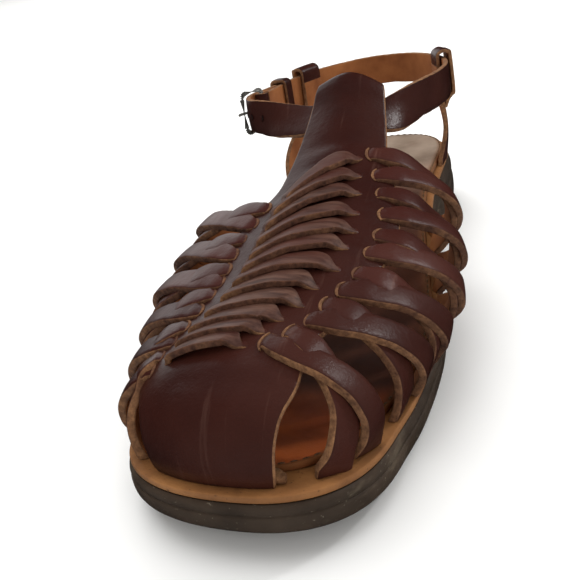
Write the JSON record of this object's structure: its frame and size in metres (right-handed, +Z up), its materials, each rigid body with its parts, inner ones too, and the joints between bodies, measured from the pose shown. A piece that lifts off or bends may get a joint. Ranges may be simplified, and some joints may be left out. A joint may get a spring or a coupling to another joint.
{
  "type": "fisherman sandal",
  "caption": "Closed-toe leather sandal with crossed straps woven through a long vamp panel, a bar looped over a buckled ankle strap, and a layered rubber sole with a low heel.",
  "frame": {"origin": "on the ground under the middle of the whole shoe", "axes": "+Z up, toe toward -Y and heel toward +Y, inner side of the foot toward +X"},
  "size_m": [0.1198, 0.29, 0.0939],
  "materials": {
    "sole_rubber": "matte moulded rubber, scuffed",
    "tan_leather": "bare tan sole leather",
    "footbed_leather": "worn smooth footbed leather",
    "strap_leather": "satin waxed leather with raw cut edges",
    "buckle_metal": "dull plated metal"
  },
  "bodies": {
    "root": {"outsole": "sole_rubber", "midsole": "tan_leather", "insole": "footbed_leather", "upper": "strap_leather", "quarter_strap_medial": "strap_leather", "quarter_strap_lateral": "strap_leather", "ankle_strap": "strap_leather", "strap_keeper": "strap_leather", "buckle_frame": "buckle_metal", "buckle_prong": "buckle_metal"}
  },
  "joints": []
}
